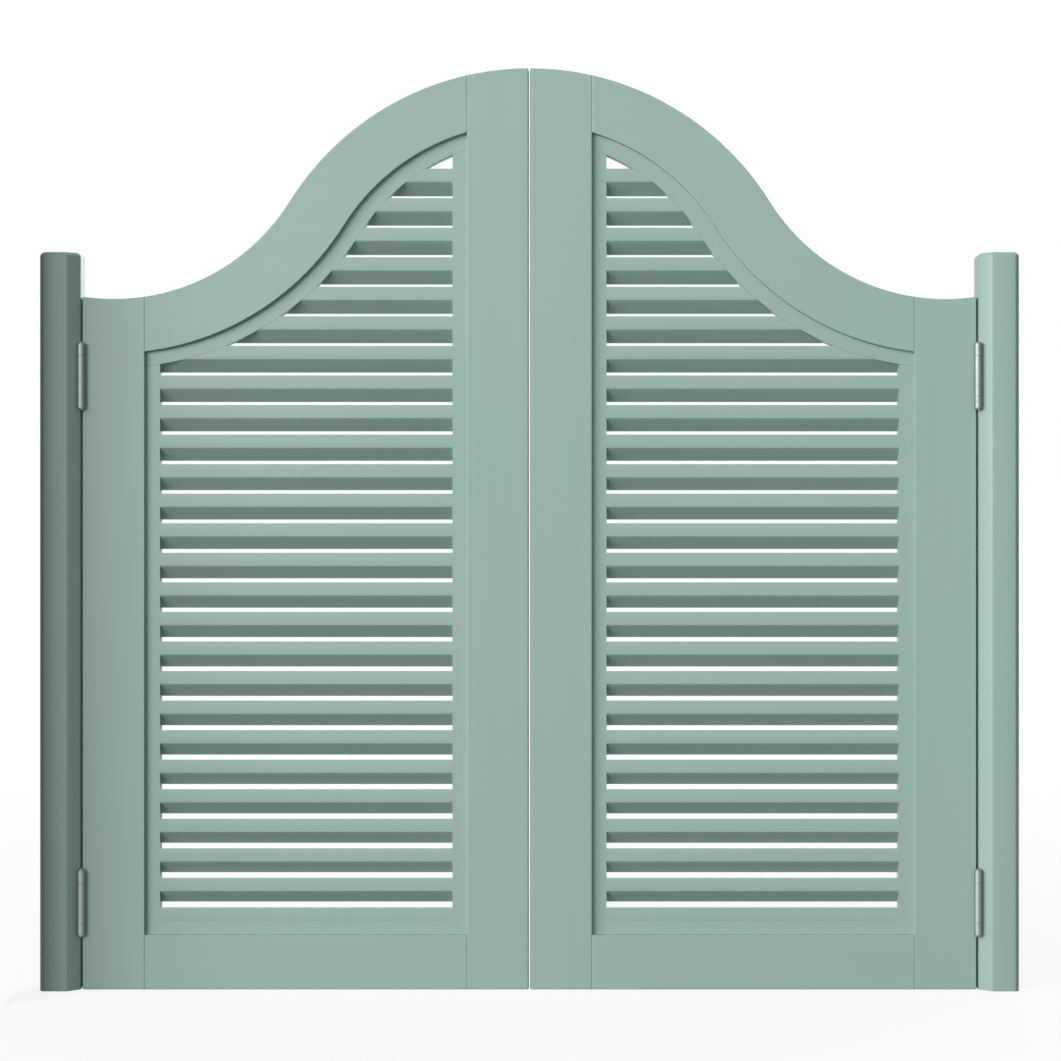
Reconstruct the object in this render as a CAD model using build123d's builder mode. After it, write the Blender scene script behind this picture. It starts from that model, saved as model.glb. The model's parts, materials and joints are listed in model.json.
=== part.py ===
from build123d import *

import os
from math import sqrt

# A pair of louvered cafe doors between two posts, in millimetres. The origin is on the floor, midway
# between the posts and in the middle of the leaves' thickness. +X is the viewer's right, -Y the front.

# Doorway and the gaps round the leaves
clear_opening = 914.0
hinge_gap = 2.2
passing_clearance = 0.3

# Leaf outline
leaf_thickness = 28.0
crown_height = 938.0
shoulder_height = 703.0
crown_radius = 288.0
arris_radius = 0.8

# Stiles and rails
hinge_stile_width = 62.8
meeting_stile_width = 62.9
meeting_edge_radius = 125.0
bottom_rail_height = 55.5
top_rail_crown_width = 56.0
top_rail_shoulder_width = 55.5
top_rail_radius_step = 64.5
rail_tenon_thickness = 10.0
rail_tenon_length = 18.0
rail_tenon_shoulder = 9.0

# Louvre panel: four strips round the opening, and slats that fall towards the back
louvre_thickness = 16.0
strip_width = 15.0
bottom_strip_height = 13.8
arch_strip_crown_width = 15.5
arch_strip_shoulder_width = 14.0
arch_strip_radius_step = 20.0
slat_pitch = 30.15
slat_face = 13.7
slat_fall = 13.1
slat_tenon_length = 5.0
slat_tenon_shoulder = 2.0
least_top_opening = 8.0
upper_slat_count = 7

# Joints in the wood
glue_line = 0.15
tenon_clearance = 0.1
tenon_end_clearance = 0.4

# Posts
post_width = 40.0
post_depth = 50.0
post_above_shoulder = 47.0
post_bevel_setback = 1.0
post_outer_bevel = 4.0
post_top_bevel = 3.0
fixing_hole_radius = 2.75
fixing_countersink_radius = 5.5
fixing_hole_margin = 55.0
fixing_hole_count = 4

# Double-acting hinges: one barrel in front of the leaf and one behind it, joined by a link plate
lower_hinge_level = 89.0
upper_hinge_below_shoulder = 78.5
barrel_length = 65.0
barrel_radius = 4.0
barrel_clearance = 0.3
knuckle_length = 12.0
knuckle_gap = 0.3
plate_thickness = 1.5
plate_reach = 10.0
plate_notch_clearance = 0.8
recess_clearance = 0.1
pin_radius = 1.75
pin_clearance = 0.05
pin_head_radius = 3.6
pin_head_height = 2.5
pin_head_clearance = 0.1
barrel_wall = 0.8
barrel_lip = 3.0
spring_clearance = 0.3
spring_end_clearance = 0.2

# Hinge screws
screw_radius = 1.5
screw_head_radius = 3.0
screw_length = 22.0
screw_tip_length = 4.0
screw_tip_radius = 0.3
screw_clearance = 0.05
screw_spacing = 22.0
screw_stagger = 8.0

half_opening = clear_opening / 2
half_leaf = leaf_thickness / 2
pin_x = half_opening - hinge_gap / 2
pin_y = half_leaf + barrel_clearance + barrel_radius
pin_bore_radius = pin_radius + pin_clearance
leaf_reach = pin_x - passing_clearance / 2

leaf_outer_x = half_opening - hinge_gap
leaf_inner_x = pin_x - meeting_edge_radius - sqrt((leaf_reach - meeting_edge_radius) ** 2 - pin_y**2)
hinge_stile_x = leaf_outer_x - hinge_stile_width
meeting_stile_x = leaf_inner_x + meeting_stile_width
slats_outer_x = hinge_stile_x - strip_width
slats_inner_x = meeting_stile_x + strip_width
shoulder_x = (leaf_outer_x + hinge_stile_x) / 2
first_slat_level = bottom_rail_height + bottom_strip_height

half_post_face = half_leaf - post_bevel_setback
post_inner_bevel = post_depth / 2 - half_post_face
post_height = shoulder_height + post_above_shoulder

chamber_radius = barrel_radius - barrel_wall
plate_notch_y = pin_y - barrel_radius - plate_notch_clearance
hinge_levels = (lower_hinge_level, shoulder_height - upper_hinge_below_shoulder)
middle_barrel_length = barrel_length - 2 * (knuckle_length + knuckle_gap)
sides = {"left": -1, "right": 1}


class Ogee:
    """A crown arc centred on the seam, running without a kink into a hollow arc over the hinge stile."""

    def __init__(self, crown_z, shoulder_z, radius):
        self.crown_z = crown_z
        self.shoulder_z = shoulder_z
        self.radius = radius
        drop = crown_z - shoulder_z
        centre_distance = (shoulder_x**2 + drop**2) / (2 * drop)
        self.shoulder_radius = centre_distance - radius
        self.turn_x = shoulder_x * radius / centre_distance

    def height(self, x):
        """The curve's level at a distance x from the seam."""
        if x <= self.turn_x:
            return self.crown_z - self.radius + sqrt(self.radius**2 - x**2)
        rise = self.shoulder_radius - sqrt(self.shoulder_radius**2 - (x - shoulder_x) ** 2)
        return self.shoulder_z + rise

    def below(self, crown_width, shoulder_width, radius_step):
        """The lower edge of a band that hangs from this curve."""
        return Ogee(self.crown_z - crown_width, self.shoulder_z - shoulder_width, self.radius - radius_step)

    def trace(self, x_from, x_to):
        """Adds the arcs between two distances from the seam to the line that is being drawn."""
        stops = [x_from, x_to]
        if x_from < self.turn_x < x_to:
            stops.insert(1, self.turn_x)
        for start, end in zip(stops, stops[1:]):
            ThreePointArc(*((x, self.height(x)) for x in (start, (start + end) / 2, end)))


outline = Ogee(crown_height, shoulder_height, crown_radius)
top_rail_edge = outline.below(top_rail_crown_width, top_rail_shoulder_width, top_rail_radius_step)
arch_strip_top = top_rail_edge.below(glue_line, glue_line, glue_line)
arch_strip_edge = top_rail_edge.below(
    arch_strip_crown_width, arch_strip_shoulder_width, arch_strip_radius_step
)
opening_edge = arch_strip_edge.below(glue_line, glue_line, glue_line)

slat_room = opening_edge.height(slats_inner_x) - least_top_opening - slat_face - first_slat_level
slat_levels = [first_slat_level + slat_pitch * n for n in range(int(slat_room // slat_pitch) + 1)]
full_width_levels = [z for z in slat_levels if z + slat_face <= opening_edge.height(slats_outer_x)]
lower_levels = slat_levels[:-upper_slat_count]
upper_levels = slat_levels[-upper_slat_count:]


def leaf_plane(side):
    """The leaf's middle plane, with its first axis pointing from the seam to this side's post."""
    return Plane(origin=(0, 0, 0), x_dir=(side, 0, 0), z_dir=(0, -side, 0))


def plan(side, turn, level):
    """A level plane at the hinge line; turned by half a turn where turn is -1."""
    return Plane(origin=(side * pin_x, 0, level), x_dir=(turn, 0, 0), z_dir=(0, 0, 1))


def under_curve(side, curve, x_from, x_to, bottom):
    """A face with upright sides, a level foot and an ogee top."""
    with BuildSketch(leaf_plane(side)) as face:
        with BuildLine():
            curve.trace(x_from, x_to)
            Polyline(
                (x_to, curve.height(x_to)), (x_to, bottom), (x_from, bottom), (x_from, curve.height(x_from))
            )
        make_face()
    return face.sketch


def between_curves(side, upper, lower):
    """A band between two ogees, from the meeting stile to the hinge stile."""
    ends = (meeting_stile_x, hinge_stile_x)
    with BuildSketch(leaf_plane(side)) as face:
        with BuildLine():
            upper.trace(*ends)
            lower.trace(*ends)
            for x in ends:
                Line((x, upper.height(x)), (x, lower.height(x)))
        make_face()
    return face.sketch


def broad_edges(piece):
    """The edges round a flat piece's front and back faces."""
    broad = piece.faces().filter_by(Axis.Y).sort_by(Axis.Y)
    return broad[0].edges() + broad[-1].edges()


def rail_tenons(at_hinge_stile):
    """The lowest and highest level of the two rail tenons in one stile."""
    x = hinge_stile_x if at_hinge_stile else meeting_stile_x
    return (
        (rail_tenon_shoulder, bottom_rail_height - rail_tenon_shoulder),
        (top_rail_edge.height(x) + rail_tenon_shoulder, outline.height(x) - rail_tenon_shoulder),
    )


def tenon_faces(side, at_hinge_stile, levels, clearance):
    """The end faces of tenons, or with a clearance of their mortises, on a stile's inner edge."""
    x = hinge_stile_x if at_hinge_stile else meeting_stile_x
    with BuildSketch(Plane.YZ.offset(side * x)) as faces_on_edge:
        for low, high in levels:
            with Locations((0, (low + high) / 2)):
                Rectangle(rail_tenon_thickness + 2 * clearance, high - low + 2 * clearance)
    return faces_on_edge.sketch


def slat_sections(x, levels, inset):
    """Slat sections on an upright plane across the leaf, smaller all round by the inset."""
    half = louvre_thickness / 2
    corners = []
    for y, edge in ((-half + inset, 1), (half - inset, 1), (half - inset, -1), (-half + inset, -1)):
        fallen = -slat_fall * (y + half) / louvre_thickness
        corners.append((y, fallen + inset if edge == 1 else fallen + slat_face - inset))
    with BuildSketch(Plane.YZ.offset(x)) as sections:
        with Locations(*((0, level) for level in levels)):
            Polygon(*corners, align=None)
    return sections.sketch


def plate_recess(side, turn, level):
    """The shallow recess that lets a hinge plate in flush with the wood."""
    bottom = level - barrel_length / 2 - recess_clearance
    depth = plate_thickness + hinge_gap / 2
    reach = plate_reach + recess_clearance
    with BuildSketch(plan(side, turn, bottom)) as recess:
        with Locations((-depth, -pin_y)):
            Rectangle(depth, pin_y + reach, align=(Align.MIN, Align.MIN))
    return recess.sketch


def screw_places(side, turn, levels, surface_depth=0.0):
    """Three places a hinge plate, with their axes pointing out of the wood."""
    middle = (plate_reach - plate_notch_y) / 2
    places = []
    for level in levels:
        for row in (-1, 0, 1):
            y = middle + screw_stagger * (abs(row) - 0.5)
            places.append(
                Plane(
                    origin=(
                        side * pin_x - turn * (hinge_gap / 2 + surface_depth),
                        turn * y,
                        level + row * screw_spacing,
                    ),
                    x_dir=(0, 0, 1),
                    z_dir=(turn, 0, 0),
                )
            )
    return places


def keep(piece, node):
    """Labels a finished piece and writes it."""
    piece.part.label = node
    export_step(piece.part, f"parts/{node}.step")


def make_post(name, side):
    """A solid post with bevelled corners, hinge recesses and countersunk holes to the wall."""
    turn = -side
    half_depth = post_depth / 2
    outer_x = half_opening + post_width
    corner = (
        (half_opening, half_post_face),
        (half_opening + post_inner_bevel, half_depth),
        (outer_x - post_outer_bevel, half_depth),
        (outer_x, half_depth - post_outer_bevel),
    )
    first_hole = hinge_levels[0] + barrel_length / 2 + fixing_hole_margin
    last_hole = hinge_levels[1] - barrel_length / 2 - fixing_hole_margin
    hole_pitch = (last_hole - first_hole) / (fixing_hole_count - 1)
    with BuildPart() as post:
        with BuildSketch():
            Polygon(
                *((side * x, y) for x, y in corner),
                *((side * x, -y) for x, y in reversed(corner)),
                align=None,
            )
        extrude(amount=post_height)
        chamfer(post.edges().group_by(Axis.Z)[-1], length=post_top_bevel)
        for level in hinge_levels:
            extrude(
                plate_recess(side, turn, level),
                amount=barrel_length + 2 * recess_clearance,
                mode=Mode.SUBTRACT,
            )
        with Locations(*screw_places(side, turn, hinge_levels, plate_thickness)):
            Hole(screw_radius + screw_clearance, depth=screw_length)
        for n in range(fixing_hole_count):
            level = first_hole + n * hole_pitch
            with Locations(
                Plane(origin=(side * half_opening, 0, level), x_dir=(0, 0, 1), z_dir=(-side, 0, 0))
            ):
                CounterSinkHole(fixing_hole_radius, fixing_countersink_radius, depth=post_width)
    keep(post, f"{name}_post")


def make_stiles(name, side):
    """The two uprights of a leaf, mortised for the rails.

    The outer one is let in for the hinges. The inner one's meeting edge is rounded, so that both leaves
    can swing past each other at once with little gap between them.
    """
    with BuildPart() as stile:
        extrude(
            under_curve(side, outline, hinge_stile_x, leaf_outer_x, 0), amount=half_leaf, both=True
        )
        fillet(broad_edges(stile), radius=arris_radius)
        extrude(
            tenon_faces(side, True, rail_tenons(True), tenon_clearance),
            amount=side * (rail_tenon_length + tenon_end_clearance),
            mode=Mode.SUBTRACT,
        )
        for level in hinge_levels:
            extrude(
                plate_recess(side, side, level),
                amount=barrel_length + 2 * recess_clearance,
                mode=Mode.SUBTRACT,
            )
        with Locations(*screw_places(side, side, hinge_levels, plate_thickness)):
            Hole(screw_radius + screw_clearance, depth=screw_length)
    keep(stile, f"{name}_hinge_stile")

    with BuildPart() as stile:
        extrude(
            under_curve(side, outline, leaf_inner_x, meeting_stile_x, 0), amount=half_leaf, both=True
        )
        with BuildSketch():
            with Locations((side * (leaf_inner_x + meeting_edge_radius), 0)):
                Circle(meeting_edge_radius)
        extrude(amount=crown_height, mode=Mode.INTERSECT)
        fillet(broad_edges(stile), radius=arris_radius)
        extrude(
            tenon_faces(side, False, rail_tenons(False), tenon_clearance),
            amount=-side * (rail_tenon_length + tenon_end_clearance),
            mode=Mode.SUBTRACT,
        )
    keep(stile, f"{name}_meeting_stile")


def make_rails(name, side):
    """The ogee top rail and the straight bottom rail, each with a stub tenon at both ends."""
    with BuildPart() as rail:
        extrude(between_curves(side, outline, top_rail_edge), amount=half_leaf, both=True)
        fillet(broad_edges(rail), radius=arris_radius)
        for at_hinge_stile, way in ((True, side), (False, -side)):
            extrude(
                tenon_faces(side, at_hinge_stile, rail_tenons(at_hinge_stile)[1:], 0),
                amount=way * rail_tenon_length,
            )
    keep(rail, f"{name}_top_rail")

    with BuildPart() as rail:
        with BuildSketch(leaf_plane(side)):
            with Locations((meeting_stile_x, 0)):
                Rectangle(
                    hinge_stile_x - meeting_stile_x, bottom_rail_height, align=(Align.MIN, Align.MIN)
                )
        extrude(amount=half_leaf, both=True)
        fillet(broad_edges(rail), radius=arris_radius)
        for at_hinge_stile, way in ((True, side), (False, -side)):
            extrude(
                tenon_faces(side, at_hinge_stile, rail_tenons(at_hinge_stile)[:1], 0),
                amount=way * rail_tenon_length,
            )
    keep(rail, f"{name}_bottom_rail")


def make_louvre_strips(name, side):
    """The strips round the louvres: two mortised uprights, an arched head and a sloped sill."""
    half_louvre = louvre_thickness / 2
    mortise_depth = slat_tenon_length + tenon_end_clearance
    mortise_inset = slat_tenon_shoulder - tenon_clearance
    uprights = (
        ("hinge_strip", slats_outer_x, hinge_stile_x, slats_outer_x, full_width_levels, side),
        ("meeting_strip", meeting_stile_x, slats_inner_x, slats_inner_x, slat_levels, -side),
    )
    for piece_name, x_from, x_to, mortised_x, levels, way in uprights:
        with BuildPart() as strip:
            extrude(
                under_curve(side, opening_edge, x_from, x_to, bottom_rail_height),
                amount=half_louvre,
                both=True,
            )
            extrude(
                slat_sections(side * mortised_x, levels, mortise_inset),
                amount=way * mortise_depth,
                mode=Mode.SUBTRACT,
            )
        keep(strip, f"{name}_{piece_name}")

    with BuildPart() as strip:
        extrude(between_curves(side, arch_strip_top, arch_strip_edge), amount=half_louvre, both=True)
    keep(strip, f"{name}_arch_strip")

    with BuildPart() as strip:
        with BuildSketch(Plane.YZ.offset(side * slats_inner_x)):
            Polygon(
                (-half_louvre, bottom_rail_height),
                (half_louvre, bottom_rail_height),
                (half_louvre, first_slat_level - slat_fall),
                (-half_louvre, first_slat_level),
                align=None,
            )
        extrude(amount=side * (slats_outer_x - slats_inner_x))
    keep(strip, f"{name}_bottom_strip")


def make_slats(node, side, levels):
    """Slats that fall towards the back, tenoned into the strips and cut to the arch that crosses them."""
    with BuildPart() as slats:
        extrude(
            slat_sections(side * slats_inner_x, levels, 0), amount=side * (slats_outer_x - slats_inner_x)
        )
        extrude(
            under_curve(side, opening_edge, slats_inner_x, slats_outer_x, bottom_rail_height),
            amount=louvre_thickness / 2,
            both=True,
            mode=Mode.INTERSECT,
        )
        full_width = [level for level in levels if level in full_width_levels]
        for x, way, tenoned in ((slats_inner_x, -side, levels), (slats_outer_x, side, full_width)):
            if tenoned:
                extrude(
                    slat_sections(side * x, tenoned, slat_tenon_shoulder), amount=way * slat_tenon_length
                )
    keep(slats, node)


def make_hinge_plate(node, side, turn, level):
    """A flat plate with a knuckle at each end of its barrel edge and three countersunk holes."""
    bottom = level - barrel_length / 2
    with BuildPart() as plate:
        with BuildSketch(plan(side, turn, bottom)):
            with Locations((-hinge_gap / 2, -plate_notch_y)):
                Rectangle(
                    plate_thickness, plate_notch_y + plate_reach, align=(Align.MAX, Align.MIN)
                )
        extrude(amount=barrel_length)
        for start in (bottom, bottom + barrel_length - knuckle_length):
            with BuildSketch(plan(side, turn, start)):
                with Locations((0, -pin_y)):
                    Circle(barrel_radius)
                with Locations((-hinge_gap / 2, -pin_y)):
                    Rectangle(plate_thickness, pin_y - plate_notch_y, align=(Align.MAX, Align.MIN))
            extrude(amount=knuckle_length)
        with BuildSketch(plan(side, turn, bottom)):
            with Locations((0, -pin_y)):
                Circle(pin_bore_radius)
        extrude(amount=barrel_length, mode=Mode.SUBTRACT)
        with Locations(*screw_places(side, turn, [level])):
            CounterSinkHole(
                screw_radius + 2 * screw_clearance, screw_head_radius + screw_clearance, plate_thickness
            )
    keep(plate, node)


def make_link(node, side, level):
    """Two spring barrels, one before the leaf and one behind it, joined by a plate in the gap."""
    bottom = level - middle_barrel_length / 2
    with BuildPart() as link:
        with BuildSketch(plan(side, side, bottom)):
            Rectangle(plate_thickness, 2 * pin_y)
            with Locations((0, -pin_y), (0, pin_y)):
                Circle(barrel_radius)
        extrude(amount=middle_barrel_length)
        for start, length, radius in (
            (bottom, middle_barrel_length, pin_bore_radius),
            (bottom + barrel_lip, middle_barrel_length - 2 * barrel_lip, chamber_radius),
        ):
            with BuildSketch(plan(side, side, start)):
                with Locations((0, -pin_y), (0, pin_y)):
                    Circle(radius)
            extrude(amount=length, mode=Mode.SUBTRACT)
    keep(link, node)


def make_pins(node, side, y):
    """The two pins of one hinge line, upper and lower, each closed by a domed head at both ends."""
    half_length = barrel_length / 2 + pin_head_clearance
    with BuildPart() as pins:
        for level in hinge_levels:
            with BuildSketch(Plane(origin=(side * pin_x, y, level), x_dir=(1, 0, 0), z_dir=(0, -1, 0))):
                with BuildLine():
                    TangentArc(
                        (0, half_length + pin_head_height), (pin_head_radius, half_length), tangent=(1, 0)
                    )
                    Polyline(
                        (pin_head_radius, half_length),
                        (pin_radius, half_length),
                        (pin_radius, -half_length),
                        (pin_head_radius, -half_length),
                    )
                    TangentArc(
                        (0, -half_length - pin_head_height), (pin_head_radius, -half_length), tangent=(1, 0)
                    )
                    Line((0, half_length + pin_head_height), (0, -half_length - pin_head_height))
                make_face()
            revolve(axis=Axis((side * pin_x, y, level), (0, 0, 1)))
    keep(pins, node)


def make_springs(node, side, y):
    """The torsion springs of one hinge line, close-wound round the pins inside the middle barrels."""
    length = middle_barrel_length - 2 * (barrel_lip + spring_end_clearance)
    with BuildPart() as springs:
        for level in hinge_levels:
            with BuildSketch(Plane.XY.offset(level - length / 2)):
                with Locations((side * pin_x, y)):
                    Circle(chamber_radius - spring_clearance / 2)
                    Circle(pin_radius + spring_clearance, mode=Mode.SUBTRACT)
            extrude(amount=length)
    keep(springs, node)


def make_screws(node, places):
    """Countersunk wood screws that hold the hinge plates."""
    head_height = screw_head_radius - screw_radius
    top_of_tip = screw_length - screw_tip_length
    on_top = (Align.CENTER, Align.CENTER, Align.MAX)
    with BuildPart() as screws:
        with Locations(*places):
            Cone(screw_radius, screw_head_radius, head_height, align=on_top)
            with Locations((0, 0, -head_height)):
                Cylinder(screw_radius, top_of_tip - head_height, align=on_top)
            with Locations((0, 0, -top_of_tip)):
                Cone(screw_tip_radius, screw_radius, screw_tip_length, align=on_top)
    keep(screws, node)


os.makedirs("parts", exist_ok=True)

for name, side in sides.items():
    make_post(name, side)
    make_stiles(name, side)
    make_rails(name, side)
    make_louvre_strips(name, side)
    make_slats(f"{name}_lower_slats", side, lower_levels)
    for number, level in enumerate(reversed(upper_levels), 1):
        make_slats(f"{name}_upper_slat_{number}", side, [level])
    for place, level in zip(("lower", "upper"), hinge_levels):
        make_hinge_plate(f"{name}_{place}_jamb_plate", side, -side, level)
        make_hinge_plate(f"{name}_{place}_door_plate", side, side, level)
        make_link(f"{name}_{place}_link", side, level)
    for place, way in (("front", -1), ("rear", 1)):
        make_pins(f"{name}_{place}_pins", side, way * pin_y)
        make_springs(f"{name}_{place}_springs", side, way * pin_y)
    make_screws(f"{name}_leaf_hinge_screws", screw_places(side, side, hinge_levels))

make_screws(
    "post_hinge_screws",
    [place for side in sides.values() for place in screw_places(side, -side, hinge_levels)],
)
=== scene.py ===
import json
import math

import bpy
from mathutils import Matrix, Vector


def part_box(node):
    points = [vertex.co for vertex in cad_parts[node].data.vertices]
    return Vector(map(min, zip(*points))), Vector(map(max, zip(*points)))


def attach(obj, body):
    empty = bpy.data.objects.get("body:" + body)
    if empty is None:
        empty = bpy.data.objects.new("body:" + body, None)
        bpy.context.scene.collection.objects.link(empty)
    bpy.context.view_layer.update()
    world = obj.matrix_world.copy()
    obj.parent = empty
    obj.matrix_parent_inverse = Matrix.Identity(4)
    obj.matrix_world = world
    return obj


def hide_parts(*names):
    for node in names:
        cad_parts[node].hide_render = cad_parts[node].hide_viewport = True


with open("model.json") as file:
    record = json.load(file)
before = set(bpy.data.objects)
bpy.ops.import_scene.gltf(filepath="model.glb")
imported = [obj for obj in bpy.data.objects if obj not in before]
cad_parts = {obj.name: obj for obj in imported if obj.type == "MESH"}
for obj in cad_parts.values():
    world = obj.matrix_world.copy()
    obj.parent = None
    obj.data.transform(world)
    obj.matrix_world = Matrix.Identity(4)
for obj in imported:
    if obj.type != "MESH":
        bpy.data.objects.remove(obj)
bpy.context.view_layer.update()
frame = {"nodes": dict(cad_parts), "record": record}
nodes = frame["nodes"]


# Posts. Two solid timber uprights, screwed in place on either side, with wide bevels towards the
# doorway. They are brush painted in a satin sage green, worked lengthwise, over softly rounded arrises.
class Graph:
    """A node tree that is written as expressions."""

    def __init__(self, tree):
        self.tree = tree

    def add(self, kind, settings=None, inputs=None, output=0):
        """Adds a node: its settings first, then the values or links of its sockets."""
        node = self.tree.nodes.new("ShaderNode" + kind)
        for key, value in (settings or {}).items():
            setattr(node, key, value)
        self.feed(node, inputs or {})
        return Socket(self, node.outputs[output])

    def feed(self, node, inputs):
        """Gives a node's sockets their values or links."""
        for key, value in inputs.items():
            if isinstance(value, Socket):
                self.tree.links.new(value.output, node.inputs[key])
            else:
                node.inputs[key].default_value = value

    def mixed(self, share, first_colour, second_colour):
        """A colour between two others, at a share that may change over the surface."""
        factor_socket = 0
        first_socket = 6
        second_socket = 7
        result_socket = 2
        inputs = {factor_socket: share, first_socket: first_colour, second_socket: second_colour}
        return self.add("Mix", {"data_type": "RGBA"}, inputs, result_socket)


class Socket:
    """A node's output. A sum or product of it adds the Math node that works it out."""

    def __init__(self, graph, output):
        self.graph = graph
        self.output = output

    def maths(self, operation, other):
        return self.graph.add("Math", {"operation": operation}, {0: self, 1: other})

    def __add__(self, other):
        return self.maths("ADD", other)

    def __mul__(self, other):
        return self.maths("MULTIPLY", other)

    __radd__ = __add__
    __rmul__ = __mul__


def linear(*screen_colour):
    """A colour from its values on a screen, each from 0 to 255."""
    shares = [value / 255 for value in screen_colour]
    return (*(s / 12.92 if s <= 0.04045 else ((s + 0.055) / 1.055) ** 2.4 for s in shares), 1)


def painted(name, grain, sage, worn_sage, stroke_length=0.11):
    """Satin paint on timber, brushed along one axis: fine furrows, soft laps and a slightly drifting tint."""
    stroke_width = 0.0012
    furrows_in_a_lap = 11
    stipple_fineness = 1700
    drift_fineness = 2.6
    drift_low = 0.3
    drift_high = 0.7
    furrow_shade = 0.02
    lap_shade = 0.035
    furrow_height = 0.6
    lap_height = 0.9
    stipple_height = 0.2
    relief_depth = 0.00009
    relief_strength = 0.35
    satin_roughness = 0.34
    uneven_sheen = 0.1
    paint_ior = 1.47

    material = bpy.data.materials.new(name)
    material.use_nodes = True
    shader = material.node_tree.nodes["Principled BSDF"]
    graph = Graph(material.node_tree)
    place = graph.add("TexCoord", output="Object")
    fine = [1 / stroke_width] * 3
    fine[grain] = 1 / stroke_length
    along = graph.add("Mapping", {"vector_type": "POINT"}, {"Vector": place, "Scale": fine})
    furrows = graph.add("TexNoise", {}, {"Vector": along, "Scale": 1, "Detail": 2, "Roughness": 0.5})
    broad = [count / furrows_in_a_lap for count in fine]
    wide = graph.add("Mapping", {"vector_type": "POINT"}, {"Vector": place, "Scale": broad})
    laps = graph.add("TexNoise", {}, {"Vector": wide, "Scale": 1, "Detail": 1})
    stipple = graph.add("TexNoise", {}, {"Vector": place, "Scale": stipple_fineness, "Detail": 1})
    drift = graph.add("TexNoise", {}, {"Vector": place, "Scale": drift_fineness, "Detail": 1})
    tint = graph.add("MapRange", {}, {"Value": drift, "From Min": drift_low, "From Max": drift_high})
    colour = graph.mixed(tint, sage, worn_sage)
    cover = furrows * furrow_shade + laps * lap_shade + (1 - (furrow_shade + lap_shade) / 2)
    laid = graph.add("VectorMath", {"operation": "SCALE"}, {"Vector": colour, "Scale": cover})
    relief = furrows * furrow_height + laps * lap_height + stipple * stipple_height
    bump = graph.add("Bump", {}, {"Height": relief, "Strength": relief_strength, "Distance": relief_depth})
    graph.feed(
        shader,
        {
            "Base Color": laid,
            "Roughness": furrows * uneven_sheen + laps * uneven_sheen + satin_roughness,
            "Normal": bump,
            "IOR": paint_ior,
        },
    )
    return material


def dress(piece, material):
    """Gives a piece one material all over."""
    piece.data.materials.clear()
    piece.data.materials.append(material)


def work_on(piece, mode):
    """Selects one piece alone and enters a mode."""
    if bpy.context.object and bpy.context.object.mode != "OBJECT":
        bpy.ops.object.mode_set(mode="OBJECT")
    bpy.ops.object.select_all(action="DESELECT")
    piece.select_set(True)
    bpy.context.view_layer.objects.active = piece
    bpy.ops.object.mode_set(mode=mode)


bodies = frame["record"]["behaviour"]["bodies"]
body_of_node = {node: body for body, members in bodies.items() for node in members}


def stand_for(piece, node):
    """Lets a piece stand for a CAD node: hides the node and puts the piece on the node's body."""
    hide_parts(node)
    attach(piece, body_of_node[node])


def merged_copy(node, name):
    """A copy of a CAD node's solids, with its loose triangles merged into whole faces."""
    weld_distance = 0.000002
    flat_within = math.radians(0.3)
    piece = bpy.data.objects.new(name, nodes[node].data.copy())
    bpy.context.scene.collection.objects.link(piece)
    work_on(piece, "OBJECT")
    bpy.ops.mesh.customdata_custom_splitnormals_clear()
    work_on(piece, "EDIT")
    bpy.ops.mesh.select_all(action="SELECT")
    bpy.ops.mesh.remove_doubles(threshold=weld_distance)
    bpy.ops.mesh.dissolve_limited(angle_limit=flat_within)
    work_on(piece, "OBJECT")
    return piece


smooth_within = math.radians(28)


def round_edges(piece, is_arris, radius, segments):
    """Rounds the edges between whose two ends the test holds, and smooths across them."""
    mesh = piece.data
    for part in (mesh.vertices, mesh.edges, mesh.polygons):
        part.foreach_set("select", [False] * len(part))
    for edge in mesh.edges:
        start, end = (mesh.vertices[index] for index in edge.vertices)
        if is_arris(start.co, end.co):
            edge.select = True
            start.select = True
            end.select = True
    bpy.context.tool_settings.mesh_select_mode = (False, True, False)
    work_on(piece, "EDIT")
    bpy.ops.mesh.bevel(offset=radius, segments=segments, affect="EDGES", clamp_overlap=True)
    work_on(piece, "OBJECT")
    bpy.ops.object.shade_smooth_by_angle(angle=smooth_within)


post_arris_radius = 0.0016
post_arris_segments = 4
post_rim_height = 0.0035
hairbreadth = 0.00001
post_paint = painted("post_paint", 2, linear(148, 176, 166), linear(150, 176, 169))


def post_arrises(node):
    """A test for a post's sharp edges: the upright ones of its two faces and the rim of its top."""
    low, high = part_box(node)
    rim_bottom = high.z - post_rim_height
    quarter_depth = (high.y - low.y) / 4

    def is_arris(start, end):
        upright = abs(start.x - end.x) < hairbreadth and abs(start.y - end.y) < hairbreadth
        return (upright and abs(start.y) > quarter_depth) or min(start.z, end.z) > rim_bottom

    return is_arris


for side in ("left", "right"):
    post = merged_copy(f"{side}_post", f"{side}_post_rounded")
    round_edges(post, post_arrises(f"{side}_post"), post_arris_radius, post_arris_segments)
    dress(post, post_paint)
    stand_for(post, f"{side}_post")


# Stiles and rails. The leaf's frame is solid timber, tenoned together, its faces painted the way the
# brush ran: upright on the stiles and across on the rails, so that each joint shows as a fine line.
frame_sage = linear(149, 177, 167)
worn_frame_sage = linear(152, 178, 171)
upright_paint = painted("upright_frame_paint", 2, frame_sage, worn_frame_sage)
level_paint = painted("level_frame_paint", 0, frame_sage, worn_frame_sage)
for side in ("left", "right"):
    for stile in ("hinge_stile", "meeting_stile"):
        dress(nodes[f"{side}_{stile}"], upright_paint)
    for rail in ("top_rail", "bottom_rail"):
        dress(nodes[f"{side}_{rail}"], level_paint)


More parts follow.
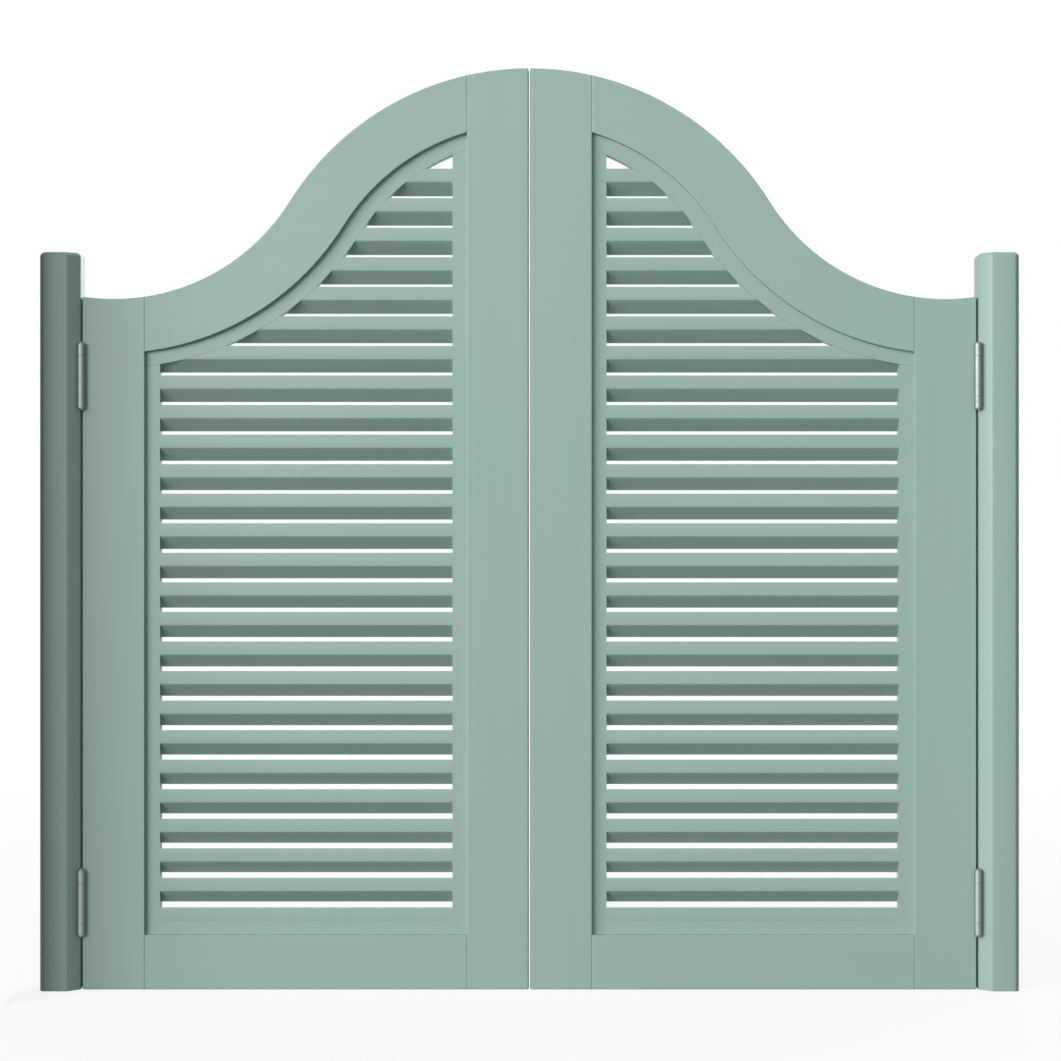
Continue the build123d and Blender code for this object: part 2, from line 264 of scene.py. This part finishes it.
# Louvre strips. Four thin strips line each opening, 6 mm back from the frame's faces. Their joints are
# filled and painted over, so they read as one border with the slats.
strip_sage = linear(149, 177, 168)
worn_strip_sage = linear(153, 178, 171)
upright_strip_paint = painted("upright_strip_paint", 2, strip_sage, worn_strip_sage)
level_strip_paint = painted("level_strip_paint", 0, strip_sage, worn_strip_sage)
for side in ("left", "right"):
    for strip in ("hinge_strip", "meeting_strip"):
        dress(nodes[f"{side}_{strip}"], upright_strip_paint)
    for strip in ("arch_strip", "bottom_strip"):
        dress(nodes[f"{side}_{strip}"], level_strip_paint)


# Slats. Moulded timber slats, planed to a slope and glued into the strips with their front edges flush.
# Their long arrises are sanded round before painting, and the brush follows their length.
slat_arris_radius = 0.0005
slat_arris_segments = 3
slat_stroke_length = 0.14
slat_paint = painted("slat_paint", 0, linear(149, 177, 167), linear(154, 179, 172), slat_stroke_length)


def is_long_arris(start, end):
    """Holds for an edge that runs along its slat."""
    return abs(start.y - end.y) < hairbreadth and abs(start.z - end.z) < hairbreadth


for node in sorted(nodes):
    if "slat" in node:
        slat = merged_copy(node, f"{node}_sanded")
        round_edges(slat, is_long_arris, slat_arris_radius, slat_arris_segments)
        dress(slat, slat_paint)
        stand_for(slat, node)


# Hinge plates and links. Double-acting spring hinges of brushed, plated steel. One plate is let in flush
# with the post and one with the leaf, and a link between them carries the barrels that hold the springs.
def brushed_steel(name, colour, along, roughness):
    """Plated steel with fine lines left by the belt, drawn along one axis."""
    line_width = 0.00012
    line_stretch = 60
    cloud_fineness = 160
    clouded_steel = linear(142, 150, 150)
    line_roughness = 0.12
    cloud_roughness = 0.1
    line_depth = 0.00002
    line_strength = 0.3

    material = bpy.data.materials.new(name)
    material.use_nodes = True
    shader = material.node_tree.nodes["Principled BSDF"]
    graph = Graph(material.node_tree)
    place = graph.add("TexCoord", output="Object")
    fine = [1 / line_width] * 3
    fine[along] = 1 / (line_width * line_stretch)
    drawn = graph.add("Mapping", {"vector_type": "POINT"}, {"Vector": place, "Scale": fine})
    lines = graph.add("TexNoise", {}, {"Vector": drawn, "Scale": 1, "Detail": 2})
    cloud = graph.add("TexNoise", {}, {"Vector": place, "Scale": cloud_fineness, "Detail": 2})
    worn = graph.mixed(cloud, colour, clouded_steel)
    bump = graph.add("Bump", {}, {"Height": lines, "Strength": line_strength, "Distance": line_depth})
    graph.feed(
        shader,
        {
            "Base Color": worn,
            "Metallic": 1.0,
            "Roughness": lines * line_roughness + cloud * cloud_roughness + roughness,
            "Normal": bump,
        },
    )
    return material


hinge_steel = brushed_steel("hinge_steel", linear(156, 164, 163), 2, 0.44)
for node in nodes:
    if node.endswith("_plate") or node.endswith("_link"):
        dress(nodes[node], hinge_steel)


# Hinge pins. Turned steel pins through the barrels, closed by a domed head at each end. Only the heads
# show, above and below the knuckles.
pin_steel = brushed_steel("pin_steel", linear(156, 163, 162), 2, 0.4)
for node in nodes:
    if node.endswith("_pins"):
        dress(nodes[node], pin_steel)


# Springs. Torsion springs of drawn wire, wound close round the pins inside the middle barrels. Each
# coil is as long and as wide as the CAD model's plain sleeve.
def solid_boxes(node):
    """The boxes of a node's separate solids, each as its lowest and highest corners, from the bottom up."""
    merged_copy(node, f"{node}_apart")
    bpy.ops.mesh.separate(type="LOOSE")
    boxes = []
    for solid in list(bpy.context.selected_objects):
        columns = list(zip(*(vertex.co for vertex in solid.data.vertices)))
        boxes.append((Vector([min(c) for c in columns]), Vector([max(c) for c in columns])))
        bpy.data.objects.remove(solid)
    return sorted(boxes, key=lambda box: (round(box[0].z, 5), box[0].x))


def apply_modifier(piece, kind, settings):
    """Adds one modifier to a piece and applies it."""
    work_on(piece, "OBJECT")
    modifier = piece.modifiers.new(kind.lower(), kind)
    for key, value in settings.items():
        setattr(modifier, key, value)
    bpy.ops.object.modifier_apply(modifier=modifier.name)


def wind(piece, pitch, turns, steps):
    """Winds a closed profile upwards round the Z axis and closes the two ends of the winding."""
    winding = {"axis": "Z", "screw_offset": pitch, "iterations": turns, "steps": steps, "render_steps": steps}
    apply_modifier(piece, "SCREW", winding)
    bpy.context.tool_settings.mesh_select_mode = (False, True, False)
    work_on(piece, "EDIT")
    bpy.ops.mesh.select_all(action="DESELECT")
    bpy.ops.mesh.select_non_manifold()
    bpy.ops.mesh.fill_holes(sides=0)
    bpy.ops.mesh.select_all(action="SELECT")
    bpy.ops.mesh.normals_make_consistent(inside=False)
    work_on(piece, "OBJECT")


def join_as(name, parts):
    """Joins finished parts into one object at the origin."""
    work_on(parts[0], "OBJECT")
    for part in parts:
        part.select_set(True)
    bpy.ops.object.join()
    piece = bpy.context.object
    piece.name = name
    bpy.ops.object.transform_apply()
    return piece


spring_wire_radius = 0.0005
spring_wind_clearance = 0.00004
spring_wire_sides = 6
spring_wind_steps = 14
spring_steel = brushed_steel("spring_steel", linear(168, 170, 170), 2, 0.26)
for node in sorted(nodes):
    if node.endswith("_springs"):
        coils = []
        for low, high in solid_boxes(node):
            wind_radius = (high.x - low.x) / 2 - spring_wire_radius
            room = high.z - low.z - 2 * spring_wire_radius
            turns = int(room / (2 * spring_wire_radius + spring_wind_clearance))
            bpy.ops.object.select_all(action="DESELECT")
            bpy.ops.mesh.primitive_circle_add(
                vertices=spring_wire_sides,
                radius=spring_wire_radius,
                location=(wind_radius, 0, 0),
                rotation=(math.radians(90), 0, 0),
            )
            coil = bpy.context.object
            bpy.ops.object.transform_apply()
            wind(coil, room / turns, turns, spring_wind_steps)
            bpy.ops.object.shade_smooth()
            coil.location = ((low.x + high.x) / 2, (low.y + high.y) / 2, low.z + spring_wire_radius)
            coils.append(coil)
        springs = join_as(f"{node}_wound", coils)
        dress(springs, spring_steel)
        stand_for(springs, node)


# Hinge screws. Zinc-plated countersunk wood screws, three to a plate, with a cross recess in the head,
# a plain neck, a rolled thread and a plain point.
screw_head_radius = 0.003
screw_rim_height = 0.0001
screw_neck_radius = 0.0015
screw_neck_end = 0.0075
screw_root_radius = 0.0011
screw_thread_end = 0.0182
screw_tip_radius = 0.0003
screw_length = 0.022
screw_sides = 28
thread_pitch = 0.0013
thread_corners = 3
thread_steps = 16
cross_width = 0.00075
cross_reach = 0.0018
cross_depth = 0.0012
cross_taper = 0.45
turn_from_screw_to_screw = math.radians(37)

bpy.ops.object.select_all(action="DESELECT")
bpy.ops.mesh.primitive_circle_add(
    vertices=screw_sides, radius=screw_head_radius, fill_type="NGON", location=(0, 0, 0)
)
shank = bpy.context.object
bpy.context.tool_settings.mesh_select_mode = (False, False, True)
work_on(shank, "EDIT")
bpy.ops.mesh.select_all(action="SELECT")
depth = 0
radius = screw_head_radius
for next_depth, next_radius in (
    (screw_rim_height, screw_head_radius),
    (screw_head_radius - screw_neck_radius, screw_neck_radius),
    (screw_neck_end, screw_neck_radius),
    (screw_neck_end + screw_neck_radius - screw_root_radius, screw_root_radius),
    (screw_thread_end, screw_root_radius),
    (screw_length, screw_tip_radius),
):
    share = next_radius / radius
    bpy.ops.mesh.extrude_region_move(TRANSFORM_OT_translate={"value": (0, 0, depth - next_depth)})
    bpy.ops.transform.resize(value=(share, share, 1), center_override=(0, 0, -next_depth))
    depth = next_depth
    radius = next_radius
bpy.ops.mesh.select_all(action="SELECT")
bpy.ops.mesh.normals_make_consistent(inside=False)
work_on(shank, "OBJECT")
bpy.ops.object.shade_smooth_by_angle(angle=smooth_within)

bpy.ops.object.select_all(action="DESELECT")
bpy.ops.mesh.primitive_cube_add(size=1, location=(0, 0, 0))
cross = bpy.context.object
cross.scale = (cross_width, cross_width, 2 * cross_depth)
bpy.ops.object.transform_apply()
for face in cross.data.polygons:
    face.select = abs(face.normal.z) < 0.5
work_on(cross, "EDIT")
bpy.ops.mesh.extrude_faces_move(TRANSFORM_OT_shrink_fatten={"value": cross_reach - cross_width / 2})
work_on(cross, "OBJECT")
for vertex in cross.data.vertices:
    if vertex.co.z < 0:
        vertex.co.x *= cross_taper
        vertex.co.y *= cross_taper
apply_modifier(shank, "BOOLEAN", {"operation": "DIFFERENCE", "object": cross, "solver": "EXACT"})
bpy.data.objects.remove(cross)

bpy.ops.object.select_all(action="DESELECT")
bpy.ops.mesh.primitive_circle_add(
    vertices=thread_corners,
    radius=screw_neck_radius - screw_root_radius,
    location=(screw_root_radius, 0, 0),
    rotation=(math.radians(90), math.radians(90), 0),
)
thread = bpy.context.object
bpy.ops.object.transform_apply()
wind(thread, thread_pitch, int((screw_thread_end - screw_neck_end) / thread_pitch), thread_steps)
thread.location.z = -screw_thread_end
screw = join_as("screw", [thread, shank])

screw_steel = brushed_steel("screw_steel", linear(204, 208, 206), 0, 0.24)
for node in sorted(nodes):
    if node.endswith("_screws"):
        screws = []
        for low, high in solid_boxes(node):
            head_side = math.copysign(1, low.x)
            if body_of_node[node] == "posts":
                head_side = -head_side
            head_x = high.x if head_side > 0 else low.x
            driven = bpy.data.objects.new("driven_screw", screw.data.copy())
            bpy.context.scene.collection.objects.link(driven)
            driven.rotation_mode = "ZYX"
            driven.rotation_euler = (0, head_side * math.radians(90), turn_from_screw_to_screw * len(screws))
            driven.location = (head_x, (low.y + high.y) / 2, (low.z + high.z) / 2)
            screws.append(driven)
        set_screws = join_as(f"{node}_threaded", screws)
        dress(set_screws, screw_steel)
        stand_for(set_screws, node)
bpy.data.objects.remove(screw)


# Floor and surround. A wide pale floor that keeps a faint shadow, running out into a white surround.
# Both are white only where the camera sees them, so they throw little light on the door.
def seen_directly(graph):
    """1 for what the camera sees by itself, in a polished surface or through a clear one."""
    path = graph.tree.nodes.new("ShaderNodeLightPath")
    rays = ("Is Camera Ray", "Is Glossy Ray", "Is Transmission Ray")
    camera_ray, glossy_ray, clear_ray = (Socket(graph, path.outputs[ray]) for ray in rays)
    return camera_ray.maths("MAXIMUM", glossy_ray.maths("MAXIMUM", clear_ray))


floor_size = 14
floor_shade = 0.15
seen_floor_shade = 0.9
fade_start = 0.5
fade_end = 2.5
glow_at_start = 0.86
glow_at_end = 1
white = (1, 1, 1, 1)

bpy.ops.object.select_all(action="DESELECT")
bpy.ops.mesh.primitive_plane_add(size=floor_size, location=(0, 0, 0))
floor = bpy.context.object
floor.name = "floor"
floor_paint = bpy.data.materials.new("floor_white")
floor_paint.use_nodes = True
floor_graph = Graph(floor_paint.node_tree)
floor_shader = floor_paint.node_tree.nodes["Principled BSDF"]
seen = seen_directly(floor_graph)
shade = seen * (seen_floor_shade - floor_shade) + floor_shade
grey = floor_graph.add("CombineColor", {}, {"Red": shade, "Green": shade, "Blue": shade})
floor_graph.feed(floor_shader, {"Base Color": grey, "Roughness": 1.0, "Specular IOR Level": 0.0})
glow = floor_graph.add("Emission", {}, {"Color": white, "Strength": 1.0})
lit = Socket(floor_graph, floor_shader.outputs[0])
place = floor_graph.add("TexCoord", output="Object")
distance = floor_graph.add("VectorMath", {"operation": "LENGTH"}, {0: place}, "Value")
fade = floor_graph.add(
    "MapRange",
    {},
    {
        "Value": distance,
        "From Min": fade_start,
        "From Max": fade_end,
        "To Min": glow_at_start,
        "To Max": glow_at_end,
    },
)
surface = floor_graph.add("MixShader", {}, {0: seen * fade, 1: lit, 2: glow})
floor_graph.feed(floor_paint.node_tree.nodes["Material Output"], {"Surface": surface})
dress(floor, floor_paint)

ambient = 0.3
surround = bpy.data.worlds.new("white_surround")
surround.use_nodes = True
bpy.context.scene.world = surround
surround_graph = Graph(surround.node_tree)
brightness = seen_directly(surround_graph) * (1 - ambient) + ambient
surround_graph.feed(surround.node_tree.nodes["Background"], {"Color": white, "Strength": brightness})


# Light. A wide soft lamp low on the left gives the recesses their long soft shadows, a small cool one
# fills from the right, and a third lights the back. A grey card shades the left post, and two black
# cards that show only in gloss put dark edges on the steel.
def soft_lamp(name, position, target, width, height, power, colour=(1, 1, 1)):
    """A rectangular lamp that points at a target and isn't seen by the camera."""
    bpy.ops.object.light_add(type="AREA", location=position)
    lamp = bpy.context.object
    lamp.name = name
    lamp.data.shape = "RECTANGLE"
    lamp.data.size = width
    lamp.data.size_y = height
    lamp.data.energy = power
    lamp.data.color = colour
    lamp.visible_camera = False
    aim = Vector(target) - Vector(position)
    lamp.rotation_euler = aim.to_track_quat("-Z", "Y").to_euler()


door_middle = (0, 0, 0.45)
right_louvres = (0.3, 0, 0.5)
soft_lamp("key_lamp", position=(-8.4, -8.2, 3.4), target=door_middle, width=12.4, height=6.0, power=1760)
soft_lamp("back_lamp", position=(2.6, 5.4, 2.6), target=door_middle, width=4.4, height=3.6, power=220)
soft_lamp(
    "fill_lamp",
    position=(0.95, -1.0, 0.75),
    target=right_louvres,
    width=0.5,
    height=1.0,
    power=1.2,
    colour=(0.62, 0.84, 1),
)


def upright_card(name, left, front, back, bottom, top, shade, in_gloss_only):
    """A thin dull card that stands square to the door, out of the camera's sight."""
    thickness = 0.002
    dull = bpy.data.materials.new(name)
    dull.use_nodes = True
    graph = Graph(dull.node_tree)
    shader = dull.node_tree.nodes["Principled BSDF"]
    graph.feed(shader, {"Base Color": (shade, shade, shade, 1), "Roughness": 1.0, "Specular IOR Level": 0.0})
    bpy.ops.object.select_all(action="DESELECT")
    middle = (left + thickness / 2, (front + back) / 2, (bottom + top) / 2)
    bpy.ops.mesh.primitive_cube_add(size=1, location=middle)
    card = bpy.context.object
    card.name = name
    card.scale = (thickness, back - front, top - bottom)
    bpy.ops.object.transform_apply()
    card.visible_camera = False
    if in_gloss_only:
        card.visible_diffuse = False
        card.visible_shadow = False
    dress(card, dull)


flag_grey = 0.4
gloss_black = 0.02
upright_card(
    "left_flag",
    left=-0.519,
    front=-0.093,
    back=-0.03,
    bottom=0,
    top=0.9,
    shade=flag_grey,
    in_gloss_only=False,
)
for name, left, front in (("left_gloss_card", -1.7, -0.72), ("right_gloss_card", 1.86, -3.3)):
    upright_card(
        name,
        left,
        front,
        back=2.0,
        bottom=0.01,
        top=2.2,
        shade=gloss_black,
        in_gloss_only=True,
    )


# Camera. Level, at the height of the leaves' middle, square on to the door.
camera_aside = 0.001
camera_distance = 2.714
camera_height = 0.4673
camera_lens = 90
camera_sensor = 36
bpy.ops.object.camera_add(
    location=(camera_aside, -camera_distance, camera_height), rotation=(math.radians(90), 0, 0)
)
camera = bpy.context.object
camera.data.lens = camera_lens
camera.data.sensor_width = camera_sensor
bpy.context.scene.camera = camera
bpy.context.scene.view_settings.view_transform = "Standard"
